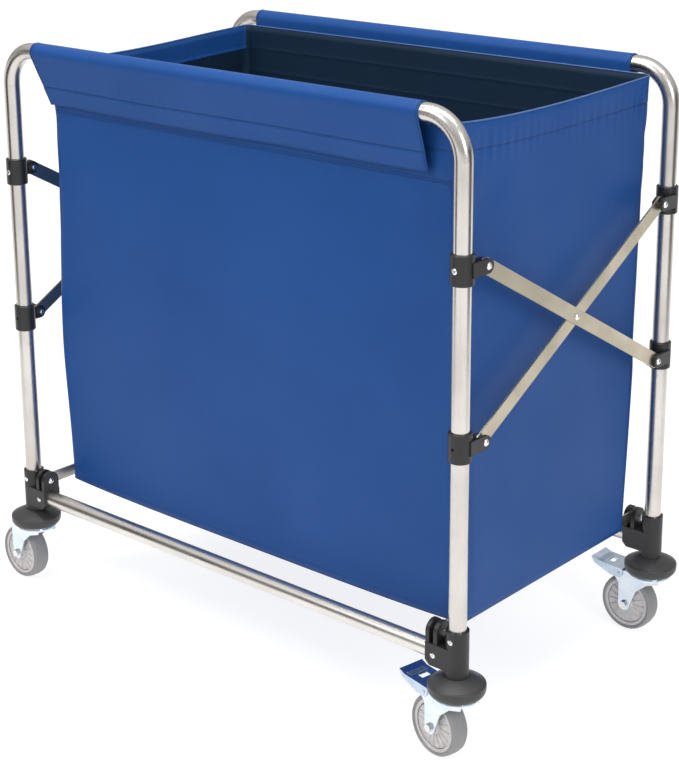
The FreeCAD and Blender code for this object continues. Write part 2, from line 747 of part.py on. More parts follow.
def makePedal(name):
    """Brake pedal: a sheet channel over the fork with its pin and the shoe above the tyre."""
    tip = "-pedalReach"
    front = f"-pedalPinInset + {cheekForward}"
    bend = f"-pedalReach + {tipLength}"
    past = f"pedalPinHeight - 2 * {cheekForward}"
    outer = plate(name + "Outer", "XZ_Plane", [
        (f"{tip} + {tipLength} / 2", f"{pedalTop} - 2 * pedalWall"),
        (f"-pedalPinInset - {cheekBack}", f"pedalPinHeight - {cheekDrop}"),
        (f"-pedalPinInset + {cheekForward} / 2", f"pedalPinHeight - {cheekDrop}"),
        (front, "pedalPinHeight - pedalWall"),
        (front, pedalTop),
        (bend, f"{pedalTop} + {bendRise}"),
        (tip, f"{pedalTop} + {tipRise}"),
        (tip, f"{pedalTop} + {tipRise} - 1.1 * pedalWall"),
    ], f"2 * {pedalOuter}")
    inner = plate(name + "Inner", "XZ_Plane", [
        (f"{tip} - {overcut}", past),
        (f"{front} + {overcut}", past),
        (f"{front} + {overcut}", f"{pedalTop} - pedalWall"),
        (bend, f"{pedalTop} + {bendRise} - pedalWall"),
        (f"{tip} - {overcut}", f"{pedalTop} + {tipRise} - 0.9 * pedalWall"),
    ], f"2 * {pedalInner}")
    opening = makeBox(name + "Window", (f"{tip} + {windowInset}", "0", "crownTop"), window)
    pinStart = ("-pedalPinInset", f"-{pedalOuter} - {overcut}", "pedalPinHeight")
    shoe = ("-pedalPinInset - pedalWall * 2.5", "0", "pedalPinHeight - pedalWall * 2")
    shoeSize = ("pedalWall * 5", "wheelWidth * 0.8", "pedalWall * 2.5")
    solids = [
        cut(name + "Sheet", outer, [inner, opening]),
        makeCylinder(name + "Pin", boltRadius, f"2 * ({pedalOuter} + {overcut})", pinStart, "y"),
        makeBox(name + "Shoe", shoe, shoeSize),
    ]
    ribSize = ("0.7 * pedalWall", f"2 * ({pedalInner} - {ribPitch})", "1.3 * pedalWall")
    for rib in range(treadRibs):
        middle = (f"{bend} + {rib * ribPitch}", "0", f"{pedalTop} + pedalWall")
        solids.append(makeBox(name + "Rib", middle, ribSize))
    return fuse(name, solids)


def makeCaster(end, face, side, braked):
    """Fork, axle, hub, tyre and, on a braked caster, the pedal."""
    corner = f"{end}_{'right' if side > 0 else 'left'}"
    angle = "swivel" + end.capitalize() + ("Right" if side > 0 else "Left")
    pieces = {
        "fork": makeFork(corner + "_fork", braked),
        "axle": makeAxle(corner + "_axle"),
        "hub": makeHub(corner + "_hub"),
        "tyre": makeTyre(corner + "_tyre"),
    }
    if braked:
        pieces["pedal"] = makePedal(corner + "_pedal")
    for kind, piece in pieces.items():
        place(piece, (legX(side), legY(face), "0"), Vector(0, 0, 1), angle)
        node(piece, f"{corner}_{kind}")


# ---- the bag and its flaps, as plain closed solids ----

strutClearance = 1.5
floorTuck = 0.5
bagHalfLeft = "(cartLength / 2 - bagLeftInset)"
bagHalfRight = "(cartLength / 2 - bagRightInset)"
bagNotch = f"(cartLength / 2 - clevisInset - armWall - strutSpacing / 2 - {strutClearance})"
strutRise = "(clevisHeight + cartDepth / 2)"
flapOuter = f"({tubeRadius} + clothWall)"
topHalf = f"(cartDepth / 2 - {flapOuter})"
bottomHalf = "(cartDepth / 2 - bagBottomGap)"
lean = f"atan(({topHalf} - {bottomHalf}) / (bagTop - bagBottom))"
slant = f"sqrt(({topHalf} - {bottomHalf}) ^ 2 + (bagTop - bagBottom) ^ 2)"


def makeSidePanel(name, face):
    """A long side of the bag, leaning outwards, notched low down on the right for the folding strut."""
    left = f"clothWall - {bagHalfLeft}"
    right = f"{bagHalfRight} - clothWall"
    notchTop = f"{strutRise} - bagBottom"
    panel = plate(name, "XZ_Plane", [
        (left, "0"),
        (bagNotch, "0"),
        (bagNotch, notchTop),
        (right, notchTop),
        (right, slant),
        (left, slant),
    ], "clothWall")
    at = ("0", f"{face} * ({bottomHalf} - clothWall / 2)", "bagBottom")
    place(panel, at, Vector(1, 0, 0), f"{-face} * {lean}")
    return node(panel, name)


def makeEndPanel(name, side):
    panel = plate(name, "YZ_Plane", [
        (f"-{bottomHalf}", "bagBottom"),
        (bottomHalf, "bagBottom"),
        (topHalf, "bagTop"),
        (f"-{topHalf}", "bagTop"),
    ], "clothWall")
    half = bagHalfRight if side > 0 else bagHalfLeft
    place(panel, (f"{side} * ({half} - clothWall / 2)", "0", "0"))
    return node(panel, name)


def makeBagFloor(name):
    left = f"({bagHalfLeft} - clothWall)"
    middle = (f"({bagNotch} - {left}) / 2", "0", "bagFloor + clothWall / 2")
    size = (f"{bagNotch} + {left}", f"2 * ({bottomHalf} - clothWall + {floorTuck})", "clothWall")
    return node(makeBox(name, middle, size), name)


flapHalf = "(cartLength / 2 - bendRadius - flapInset)"
flapFall = f"((flapDrop - {flapOuter} * sin(flapSwing)) / cos(flapSwing))"


def onHang(face, radius, fall):
    """A point (Y, Z) on a flap's hanging side, by its distance from the bar's axis and down the cloth."""
    out = f"{radius} * cos(flapSwing) - {fall} * sin(flapSwing)"
    down = f"{radius} * sin(flapSwing) + {fall} * cos(flapSwing)"
    return f"{face} * (cartDepth / 2 + {out})", f"barHeight - ({down})"


def makeFlap(name, face):
    """The cloth over a bar: tucked between the bar and the bag, and down outside, swung in to the bag."""
    length = f"2 * {flapHalf}"
    start = (f"-{flapHalf}", legY(face), "barHeight")
    tuck = ("0", legY(face, f"{tubeRadius} + clothWall / 2"), "barHeight - flapTuck / 2")
    hang = [
        onHang(face, flapOuter, "0"),
        onHang(face, flapOuter, flapFall),
        onHang(face, tubeRadius, flapFall),
        onHang(face, tubeRadius, "0"),
    ]
    below = [
        (legY(face, tubeRadius), "barHeight"),
        (legY(face, tubeRadius), "barHeight - flapDrop"),
        onHang(face, tubeRadius, flapFall),
        onHang(face, tubeRadius, "0"),
    ]
    solids = [
        makeCylinder(name + "Round", flapOuter, length, start, "x"),
        makeBox(name + "Tuck", tuck, (length, "clothWall", "flapTuck")),
        plate(name + "Hang", "YZ_Plane", hang, length),
    ]
    tools = [
        makeCylinder(name + "Bore", tubeRadius, length, start, "x"),
        plate(name + "Below", "YZ_Plane", below, length),
    ]
    return node(cut(name, fuse(name + "Solids", solids), tools), name)


# ---- the whole cart ----

brakedSide = 1
for end, face in faces.items():
    makeTopFrame(f"{end}_top_frame", face)
    makeRail(f"{end}_bottom_rail", face)
    for word, side in sides.items():
        makeBracket(f"{end}_{word}_bracket", side, face)
        makeClamp(f"{end}_{word}_upper_clamp", side, face, "upperPivotHeight", tubeRadius)
    bumpers, stems, plugs, fasteners, sliderBolts = [], [], [], [], []
    for word, side in sides.items():
        corner = f"{end}_{word}"
        bumpers.append(makeBumper(corner + "_bumper", side, face))
        stems.append(makeStem(corner + "_stem", side, face))
        plugs.append(makePlug(corner + "_plug", side, face))
        skin = f"{face} * (cartDepth / 2 + {collarRadius})"
        for at in ((legX(side), skin, "upperPivotHeight"), (legX(side), skin, socketRivetHeight),
                   (legX(side, slotNear), skin, "railHeight")):
            fasteners.append(makeRivet(corner + "_rivet", at, facingY(face)))
        pivotY = legY(face, "pivotReach")
        for kit, height in ((fasteners, "upperPivotHeight"), (sliderBolts, "lowerPivotHeight")):
            head = (f"{side} * (cartLength / 2 + {earOutside})", pivotY, height)
            seat = (f"{side} * (cartLength / 2 + {earInside})", pivotY, height)
            shank = f"{earOutside} - {earInside} + boltDiameter"
            kit.append(makeBolt(corner + "_bolt", shank, head, facingX(side)))
            kit.append(makeNut(corner + "_nut", seat, facingX(-side)))
        head = (legX(side, blockEnd), legY(face), "clevisHeight")
        seat = (legX(side, f"{slotNear} - clevisEarWall"), legY(face), "clevisHeight")
        shank = f"{blockEnd} - {slotNear} + clevisEarWall + {nutDepth}"
        fasteners.append(makeBolt(corner + "_clevisBolt", shank, head, facingX(-side)))
        fasteners.append(makeNut(corner + "_clevisNut", seat, facingX(side)))
        makeClamp(f"{corner}_lower_clamp", side, face, "lowerPivotHeight", f"{tubeRadius} + slideClearance")
        makeStrut(f"{corner}_strut", side, face, -face)
        makeCaster(end, face, side, side == brakedSide)
    node(group(f"{end}_bumper_discs", bumpers), f"{end}_bumper_discs")
    node(group(f"{end}_caster_stems", stems), f"{end}_caster_stems")
    node(group(f"{end}_stem_plugs", plugs), f"{end}_stem_plugs")
    node(group(f"{end}_fasteners", fasteners), f"{end}_fasteners")
    node(group(f"{end}_slider_bolts", sliderBolts), f"{end}_slider_bolts")
    makeSidePanel(f"bag_{end}_panel", face)
    makeFlap(f"bag_{end}_flap", face)
for word, side in sides.items():
    makeArm(f"{word}_outer_arm", side, 1, -1)
    makeArm(f"{word}_inner_arm", side, -1, 1)
    makeEndPanel(f"bag_{word}_end", side)
makeBagFloor("bag_floor")
crossRivets = [makeCrossRivet(f"{word}_crossRivet", side) for word, side in sides.items()]
node(group("cross_rivets", crossRivets), "cross_rivets")

doc.recompute()
for piece in doc.Objects:
    if "Invalid" in piece.State or "Error" in piece.State:
        raise RuntimeError(f"{piece.Label} failed: {piece.State}")
names = [piece.Label for piece in nodes]
if len(set(names)) != len(names):
    raise RuntimeError("two sub-parts share a name")
for piece in nodes:
    if piece.Shape.isNull() or not piece.Shape.isValid():
        raise RuntimeError(f"{piece.Label} has no valid shape")

os.makedirs("parts", exist_ok=True)
for piece in nodes:
    piece.Shape.exportStep(f"parts/{piece.Label}.step")
print(len(nodes), "sub-parts written")
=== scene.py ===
import bpy
import math
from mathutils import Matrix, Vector, noise


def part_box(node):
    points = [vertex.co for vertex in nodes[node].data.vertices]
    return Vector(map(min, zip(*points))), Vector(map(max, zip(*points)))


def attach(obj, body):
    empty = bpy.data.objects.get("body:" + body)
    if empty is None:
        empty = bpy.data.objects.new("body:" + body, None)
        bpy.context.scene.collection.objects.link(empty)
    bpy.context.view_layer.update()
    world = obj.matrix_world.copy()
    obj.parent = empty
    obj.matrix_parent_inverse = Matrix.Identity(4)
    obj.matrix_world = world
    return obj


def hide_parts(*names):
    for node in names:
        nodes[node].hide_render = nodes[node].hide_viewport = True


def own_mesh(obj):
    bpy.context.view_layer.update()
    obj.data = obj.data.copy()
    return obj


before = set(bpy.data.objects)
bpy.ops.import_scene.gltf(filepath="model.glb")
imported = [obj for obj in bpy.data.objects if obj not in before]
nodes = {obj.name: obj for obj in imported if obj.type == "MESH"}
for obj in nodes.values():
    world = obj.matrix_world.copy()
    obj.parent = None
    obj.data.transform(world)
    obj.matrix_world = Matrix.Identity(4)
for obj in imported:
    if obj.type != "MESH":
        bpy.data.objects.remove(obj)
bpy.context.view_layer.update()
scene = bpy.context.scene
print("frame loaded:", len(nodes), "nodes")

# helpers for every node tree


# value is a number, a colour or another node's output
def feed(tree, socket, value):
    if isinstance(value, bpy.types.NodeSocket):
        tree.links.new(value, socket)
    else:
        socket.default_value = value


def addNode(tree, kind, values=None, **settings):
    node = tree.nodes.new(kind)
    for key, value in settings.items():
        setattr(node, key, value)
    for key, value in (values or {}).items():
        feed(tree, node.inputs[key], value)
    return node


def remap(tree, value, low, high, newLow, newHigh):
    values = {"Value": value, "From Min": low, "From Max": high, "To Min": newLow, "To Max": newHigh}
    return addNode(tree, "ShaderNodeMapRange", values).outputs["Result"]


def startMaterial(name, constants):
    material = bpy.data.materials.new(name)
    material.use_nodes = True
    tree = material.node_tree
    shader = tree.nodes["Principled BSDF"]
    for key, value in constants.items():
        shader.inputs[key].default_value = value
    return material, tree, shader


# camera, floor and light

camera = {
    "place": (1.9385, -2.1829, 1.4618),
    "heading": -0.6981,     # turn away from +Y, radians
    "dip": 0.2749,          # radians below level
    "lens": 82.90,
    "shift": (-0.052, -0.154),
}
studio = {
    "floorSize": 60.0,
    "floorTone": (0.34, 0.34, 0.34, 1),
    "floorGlow": (0.80, 0.80, 0.80, 1),   # a lit white table: the ground stays pale under the cart
    "floorRoughness": 0.9,
    "skyTone": (1, 1, 1, 1),
    "backdrop": 1.0,          # what the camera sees behind everything
    "skyLow": 0.30,           # light from the sides
    "skyHigh": 0.75,          # light from overhead
    "skyRise": (-0.1, 0.8),   # it grows between these heights of the sky
    # name, place, size, watts
    "lamps": (
        ("keyLamp", (-1.2, -3.4, 3.4), (1.6, 1.2), 60),
        ("rightLamp", (3.6, -1.2, 2.4), (0.8, 2.0), 48),
        ("topLamp", (0.2, -0.5, 3.2), (2.6, 0.5), 48),
    ),
    # name, centre, width, height: dark boards that give the metal something to mirror
    "boards": (
        ("leftBoard", (-1.4, -1.7, 0.7), 1.3, 1.4),
        ("rightBoard", (2.3, 1.0, 0.75), 1.7, 1.5),
    ),
    "boardTone": (0.02, 0.02, 0.022, 1),
    "boardRoughness": 0.8,
    "aim": (0.0, 0.0, 0.5),
}


def turnAlong(direction):
    return direction.to_track_quat("-Z", "Y").to_euler()


def addCamera(values):
    data = bpy.data.cameras.new("cartCamera")
    data.lens = values["lens"]
    data.shift_x, data.shift_y = values["shift"]
    holder = bpy.data.objects.new("cartCamera", data)
    across = math.cos(values["dip"])
    ahead = Vector((math.sin(values["heading"]) * across,
                    math.cos(values["heading"]) * across,
                    -math.sin(values["dip"])))
    holder.location = values["place"]
    holder.rotation_euler = turnAlong(ahead)
    scene.collection.objects.link(holder)
    scene.camera = holder


def addLamp(name, place, size, watts, target):
    data = bpy.data.lights.new(name, "AREA")
    data.shape = "RECTANGLE"
    data.size, data.size_y = size
    data.energy = watts
    holder = bpy.data.objects.new(name, data)
    holder.location = place
    holder.rotation_euler = turnAlong(Vector(target) - Vector(place))
    scene.collection.objects.link(holder)


def flatMaterial(name, tone, roughness, glow=(0, 0, 0, 1)):
    return startMaterial(name, {"Base Color": tone, "Roughness": roughness,
                                "Emission Color": glow, "Emission Strength": 1.0})[0]


# light grows from the horizon up; the camera itself sees an even backdrop
def addSky(values):
    world = bpy.data.worlds.new("studioSky")
    world.use_nodes = True
    tree = world.node_tree
    place = addNode(tree, "ShaderNodeTexCoord").outputs["Generated"]
    height = addNode(tree, "ShaderNodeSeparateXYZ", {0: place}).outputs["Z"]
    strength = remap(tree, height, *values["skyRise"], values["skyLow"], values["skyHigh"])
    light = tree.nodes["Background"]
    feed(tree, light.inputs["Color"], values["skyTone"])
    feed(tree, light.inputs["Strength"], strength)
    seen = addNode(tree, "ShaderNodeBackground",
                   {"Color": values["skyTone"], "Strength": values["backdrop"]})
    direct = addNode(tree, "ShaderNodeLightPath").outputs["Is Camera Ray"]
    mix = addNode(tree, "ShaderNodeMixShader", {0: direct, 1: light.outputs[0], 2: seen.outputs[0]})
    tree.links.new(mix.outputs[0], tree.nodes["World Output"].inputs["Surface"])
    scene.world = world


def addPlane(name, corners, material):
    mesh = bpy.data.meshes.new(name)
    mesh.from_pydata(corners, [], [(0, 1, 2, 3)])
    mesh.materials.append(material)
    plane = bpy.data.objects.new(name, mesh)
    scene.collection.objects.link(plane)
    return plane


def addFloor(values):
    half = values["floorSize"] / 2
    corners = [(-half, -half, 0), (half, -half, 0), (half, half, 0), (-half, half, 0)]
    addPlane("studioFloor", corners, flatMaterial("floorPaint", values["floorTone"],
                                                  values["floorRoughness"], values["floorGlow"]))


# upright and turned to the cart, seen only in reflections
def addBoard(name, centre, wide, tall, material):
    facing = Vector((-centre[0], -centre[1], 0)).normalized()
    along = Vector((-facing.y, facing.x, 0)) * wide / 2
    rise = Vector((0, 0, tall / 2))
    middle = Vector(centre)
    board = addPlane(name, [middle - along - rise, middle + along - rise,
                            middle + along + rise, middle - along + rise], material)
    board.visible_camera = False


addCamera(camera)
addFloor(studio)
boardPaint = flatMaterial("boardPaint", studio["boardTone"], studio["boardRoughness"])
for name, centre, wide, tall in studio["boards"]:
    addBoard(name, centre, wide, tall, boardPaint)
for name, place, size, watts in studio["lamps"]:
    addLamp(name, place, size, watts, studio["aim"])
addSky(studio)
scene.view_settings.view_transform = "Standard"
print("studio set")

# shader building blocks


def maths(tree, operation, first, second=0.0):
    return addNode(tree, "ShaderNodeMath", {0: first, 1: second}, operation=operation).outputs[0]


def blendTones(tree, share, first, second):
    mix = addNode(tree, "ShaderNodeMix", {"Factor": share}, data_type="RGBA")
    for key, value in (("A", first), ("B", second)):
        feed(tree, [s for s in mix.inputs if s.name == key and s.type == "RGBA"][0], value)
    return [s for s in mix.outputs if s.type == "RGBA"][0]


def startGroup(name, inputs, outputs):
    group = bpy.data.node_groups.new(name, "ShaderNodeTree")
    for label, kind, value in inputs:
        group.interface.new_socket(name=label, in_out="INPUT", socket_type=kind).default_value = value
    for label, kind in outputs:
        group.interface.new_socket(name=label, in_out="OUTPUT", socket_type=kind)
    return group, group.nodes.new("NodeGroupInput").outputs, group.nodes.new("NodeGroupOutput")


def metalGrainGroup():
    group, given, out = startGroup(
        "metalGrain",
        [("Vector", "NodeSocketVector", (0, 0, 0)), ("Lines per metre", "NodeSocketVector", (900, 900, 20)),
         ("Smudges per metre", "NodeSocketFloat", 14.0)],
        [("Lines", "NodeSocketFloat"), ("Smudges", "NodeSocketFloat")])
    stretched = addNode(group, "ShaderNodeVectorMath", {0: given["Vector"], 1: given["Lines per metre"]},
                        operation="MULTIPLY").outputs[0]
    lines = addNode(group, "ShaderNodeTexNoise", {"Vector": stretched, "Scale": 1.0, "Detail": 2.0})
    smudges = addNode(group, "ShaderNodeTexNoise",
                      {"Vector": given["Vector"], "Scale": given["Smudges per metre"], "Detail": 4.0})
    group.links.new(lines.outputs[0], out.inputs["Lines"])
    group.links.new(smudges.outputs[0], out.inputs["Smudges"])
    return group


def mouldGrainGroup():
    group, given, out = startGroup(
        "mouldGrain",
        [("Vector", "NodeSocketVector", (0, 0, 0)), ("Grains per metre", "NodeSocketFloat", 1500.0)],
        [("Grain", "NodeSocketFloat"), ("Patches", "NodeSocketFloat"), ("Scuffs", "NodeSocketFloat")])
    grain = addNode(group, "ShaderNodeTexNoise",
                    {"Vector": given["Vector"], "Scale": given["Grains per metre"], "Detail": 2.0})
    patches = addNode(group, "ShaderNodeTexNoise", {"Vector": given["Vector"], "Scale": 25.0, "Detail": 4.0})
    slanted = addNode(group, "ShaderNodeMapping",
                      {"Vector": given["Vector"], "Rotation": (0.5, 0.3, 0.9), "Scale": (500, 500, 60)})
    scratches = addNode(group, "ShaderNodeTexNoise",
                        {"Vector": slanted.outputs[0], "Scale": 1.0, "Detail": 3.0, "Roughness": 0.6})
    scuffs = remap(group, scratches.outputs[0], 0.62, 0.75, 0.0, 1.0)
    group.links.new(grain.outputs[0], out.inputs["Grain"])
    group.links.new(patches.outputs[0], out.inputs["Patches"])
    group.links.new(scuffs, out.inputs["Scuffs"])
    return group


def floorDustGroup():
    group, given, out = startGroup(
        "floorDust",
        [("Vector", "NodeSocketVector", (0, 0, 0)), ("Clean above", "NodeSocketFloat", 0.12)],
        [("Dust", "NodeSocketFloat")])
    height = addNode(group, "ShaderNodeSeparateXYZ", {0: given["Vector"]}).outputs["Z"]
    low = maths(group, "SUBTRACT", 1.0, maths(group, "DIVIDE", height, given["Clean above"]))
    speck = addNode(group, "ShaderNodeTexNoise", {"Vector": given["Vector"], "Scale": 140.0, "Detail": 5.0})
    dust = maths(group, "MULTIPLY", low, remap(group, speck.outputs[0], 0.4, 0.7, 0.0, 1.0))
    clamped = addNode(group, "ShaderNodeClamp", {"Value": dust}).outputs[0]
    group.links.new(clamped, out.inputs["Dust"])
    return group


def clothWeaveGroup():
    group, given, out = startGroup(
        "clothWeave",
        [("Vector", "NodeSocketVector", (0, 0, 0)), ("Threads per metre", "NodeSocketFloat", 1100.0)],
        [("Weave", "NodeSocketFloat"), ("Slubs", "NodeSocketFloat"), ("Clouds", "NodeSocketFloat")])
    threads = addNode(group, "ShaderNodeVectorMath",
                      {0: given["Vector"], "Scale": given["Threads per metre"]},
                      operation="SCALE").outputs[0]
    parts = addNode(group, "ShaderNodeSeparateXYZ", {0: threads})
    warp = maths(group, "SINE", maths(group, "MULTIPLY", parts.outputs["X"], math.pi))
    weft = maths(group, "SINE", maths(group, "MULTIPLY", parts.outputs["Y"], math.pi))
    weave = remap(group, maths(group, "MULTIPLY", warp, weft), -1.0, 1.0, 0.0, 1.0)
    longThreads = addNode(group, "ShaderNodeMapping", {"Vector": given["Vector"], "Scale": (1400, 60, 1)})
    slubs = addNode(group, "ShaderNodeTexNoise", {"Vector": longThreads.outputs[0], "Scale": 1.0})
    clouds = addNode(group, "ShaderNodeTexNoise",
                     {"Vector": given["Vector"], "Scale": 5.0, "Detail": 4.0, "Roughness": 0.55})
    group.links.new(weave, out.inputs["Weave"])
    group.links.new(slubs.outputs[0], out.inputs["Slubs"])
    group.links.new(clouds.outputs[0], out.inputs["Clouds"])
    return group


metalGrain = metalGrainGroup()
mouldGrain = mouldGrainGroup()
floorDust = floorDustGroup()
clothWeave = clothWeaveGroup()


def useGroup(tree, group, values):
    return addNode(tree, "ShaderNodeGroup", values, node_tree=group).outputs


def addBump(tree, shader, height, distance):
    bump = addNode(tree, "ShaderNodeBump", {"Height": height, "Distance": distance, "Strength": 1.0})
    tree.links.new(bump.outputs["Normal"], shader.inputs["Normal"])


wear = {
    "lineDepth": 0.000004,    # of the drawing lines in the metals
    "dustTone": (0.3, 0.28, 0.25, 1),
    "metalDust": 0.25,        # roughness that full dust adds
    "plasticDust": 0.2,
}


# gloss is (least, most) roughness, lines the grain count per metre on each axis, lean its turn about X
def makeMetal(name, tone, dullTone, gloss, lines, lean=0.0, smudges=14.0, dustBelow=0.0):
    material, tree, shader = startMaterial(name, {"Metallic": 1.0})
    place = addNode(tree, "ShaderNodeTexCoord").outputs["Object"]
    turned = addNode(tree, "ShaderNodeMapping", {"Vector": place, "Rotation": (lean, 0, 0)}).outputs[0]
    grain = useGroup(tree, metalGrain, {"Vector": turned, "Lines per metre": lines,
                                        "Smudges per metre": smudges})
    colour = blendTones(tree, remap(tree, grain["Smudges"], 0.35, 0.7, 0.0, 1.0), tone, dullTone)
    mixed = maths(tree, "ADD", maths(tree, "MULTIPLY", grain["Lines"], 0.4),
                  maths(tree, "MULTIPLY", grain["Smudges"], 0.6))
    rough = remap(tree, mixed, 0.35, 0.65, gloss[0], gloss[1])
    if dustBelow:
        dust = useGroup(tree, floorDust, {"Vector": place, "Clean above": dustBelow})["Dust"]
        rough = maths(tree, "ADD", rough, maths(tree, "MULTIPLY", dust, wear["metalDust"]))
    tree.links.new(colour, shader.inputs["Base Color"])
    tree.links.new(rough, shader.inputs["Roughness"])
    addBump(tree, shader, grain["Lines"], wear["lineDepth"])
    return material


def makeMoulded(name, tone, wornTone, gloss, grains, grainDepth, dustBelow=0.0):
    material, tree, shader = startMaterial(name, {"Specular IOR Level": 0.45})
    place = addNode(tree, "ShaderNodeTexCoord").outputs["Object"]
    grain = useGroup(tree, mouldGrain, {"Vector": place, "Grains per metre": grains})
    worn = maths(tree, "MULTIPLY", grain["Scuffs"], remap(tree, grain["Patches"], 0.45, 0.7, 0.0, 0.8))
    colour = blendTones(tree, worn, tone, wornTone)
    rough = remap(tree, grain["Patches"], 0.3, 0.7, gloss[0], gloss[1])
    if dustBelow:
        dust = useGroup(tree, floorDust, {"Vector": place, "Clean above": dustBelow})["Dust"]
        colour = blendTones(tree, maths(tree, "MULTIPLY", dust, 0.5), colour, wear["dustTone"])
        rough = maths(tree, "ADD", rough, maths(tree, "MULTIPLY", dust, wear["plasticDust"]))
    tree.links.new(colour, shader.inputs["Base Color"])
    tree.links.new(rough, shader.inputs["Roughness"])
    addBump(tree, shader, grain["Grain"], grainDepth)
    return material


def makeCloth(name, tone, deepTone, paleTone, gloss, threads, weaveDepth):
    material, tree, shader = startMaterial(name, {"Specular IOR Level": 0.15})
    place = addNode(tree, "ShaderNodeUVMap", uv_map="clothMap").outputs["UV"]
    cloth = useGroup(tree, clothWeave, {"Vector": place, "Threads per metre": threads})
    clouded = blendTones(tree, remap(tree, cloth["Clouds"], 0.3, 0.7, 0.0, 1.0), tone, deepTone)
    flecks = maths(tree, "MULTIPLY", remap(tree, cloth["Slubs"], 0.55, 0.8, 0.0, 0.5), cloth["Weave"])
    colour = blendTones(tree, flecks, clouded, paleTone)
    rough = remap(tree, cloth["Clouds"], 0.3, 0.7, gloss[0], gloss[1])
    tree.links.new(colour, shader.inputs["Base Color"])
    tree.links.new(rough, shader.inputs["Roughness"])
    addBump(tree, shader, cloth["Weave"], weaveDepth)
    return material


# finishes of the frame

armLow, armHigh = (Vector(corner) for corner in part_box("right_outer_arm"))
armLean = math.atan2(armHigh.z - armLow.z, armHigh.y - armLow.y)
barMetal = {"tone": (0.61, 0.55, 0.43, 1), "dullTone": (0.50, 0.45, 0.35, 1),
            "gloss": (0.28, 0.44), "lines": (600, 14, 900)}
metals = {
    # the top frame is the same drawn steel as the rail in a darker tone: its own colour plus painted shade
    # for the darker reflections on the upper tubes
    "shadedDrawnSteel": {"tone": (0.68, 0.645, 0.605, 1), "dullTone": (0.54, 0.505, 0.47, 1),
                   "gloss": (0.22, 0.34), "lines": (700, 700, 12), "smudges": 9.0},
    "drawnRail": {"tone": (0.76, 0.73, 0.69, 1), "dullTone": (0.66, 0.62, 0.58, 1),
                  "gloss": (0.24, 0.36), "lines": (12, 700, 700), "smudges": 9.0},
    "outerBar": {**barMetal, "lean": armLean},
    "innerBar": {**barMetal, "lean": -armLean},
    "strutBar": {"tone": (0.48, 0.46, 0.43, 1), "dullTone": (0.40, 0.38, 0.35, 1),
                 "gloss": (0.30, 0.46), "lines": (600, 14, 900)},
    "brightZinc": {"tone": (0.78, 0.83, 0.88, 1), "dullTone": (0.66, 0.74, 0.82, 1),
                   "gloss": (0.16, 0.30), "lines": (260, 260, 260), "smudges": 40.0, "dustBelow": 0.06},
    "zincPedal": {"tone": (0.62, 0.70, 0.80, 1), "dullTone": (0.45, 0.55, 0.68, 1),
                  "gloss": (0.12, 0.26), "lines": (260, 260, 260), "smudges": 40.0},
    "boltSteel": {"tone": (0.82, 0.82, 0.82, 1), "dullTone": (0.70, 0.70, 0.72, 1),
                  "gloss": (0.14, 0.28), "lines": (400, 400, 400), "smudges": 60.0},
    "rivetSteel": {"tone": (0.85, 0.85, 0.84, 1), "dullTone": (0.74, 0.74, 0.74, 1),
                   "gloss": (0.22, 0.34), "lines": (400, 400, 400), "smudges": 60.0},
}
plastics = {
    "blackNylon": {"tone": (0.016, 0.016, 0.017, 1), "wornTone": (0.055, 0.055, 0.058, 1),
                   "gloss": (0.30, 0.46), "grains": 1300.0, "grainDepth": 0.00006},
    "bumperRubber": {"tone": (0.040, 0.040, 0.041, 1), "wornTone": (0.090, 0.090, 0.092, 1),
                     "gloss": (0.34, 0.48), "grains": 1700.0, "grainDepth": 0.00005},
    "plugPlastic": {"tone": (0.02, 0.02, 0.02, 1), "wornTone": (0.05, 0.05, 0.05, 1),
                    "gloss": (0.40, 0.55), "grains": 1500.0, "grainDepth": 0.00004},
    "tyreRubber": {"tone": (0.250, 0.250, 0.255, 1), "wornTone": (0.32, 0.32, 0.32, 1),
                   "gloss": (0.50, 0.66), "grains": 1100.0, "grainDepth": 0.00005, "dustBelow": 0.05},
    "hubPlastic": {"tone": (0.60, 0.575, 0.575, 1), "wornTone": (0.50, 0.48, 0.48, 1),
                   "gloss": (0.34, 0.48), "grains": 1400.0, "grainDepth": 0.00004, "dustBelow": 0.09},
}
finishes = {name: makeMetal(name, **values) for name, values in metals.items()}
finishes.update({name: makeMoulded(name, **values) for name, values in plastics.items()})
finishOfEnding = {
    "top_frame": "shadedDrawnSteel",
    "bottom_rail": "drawnRail",
    "outer_arm": "outerBar",
    "inner_arm": "innerBar",
    "strut": "strutBar",
    "fork": "brightZinc",
    "caster_stems": "brightZinc",
    "pedal": "zincPedal",
    "axle": "boltSteel",
    "slider_bolts": "boltSteel",
    "fasteners": "boltSteel",
    "cross_rivets": "rivetSteel",
    "bracket": "blackNylon",
    "clamp": "blackNylon",
    "bumper_discs": "bumperRubber",
    "stem_plugs": "plugPlastic",
    "tyre": "tyreRubber",
    "hub": "hubPlastic",
}
for name, node in nodes.items():
    for ending, finish in finishOfEnding.items():
        if name.endswith(ending):
            node.data.materials.clear()
            node.data.materials.append(finishes[finish])
print("frame finishes set")

# the bag

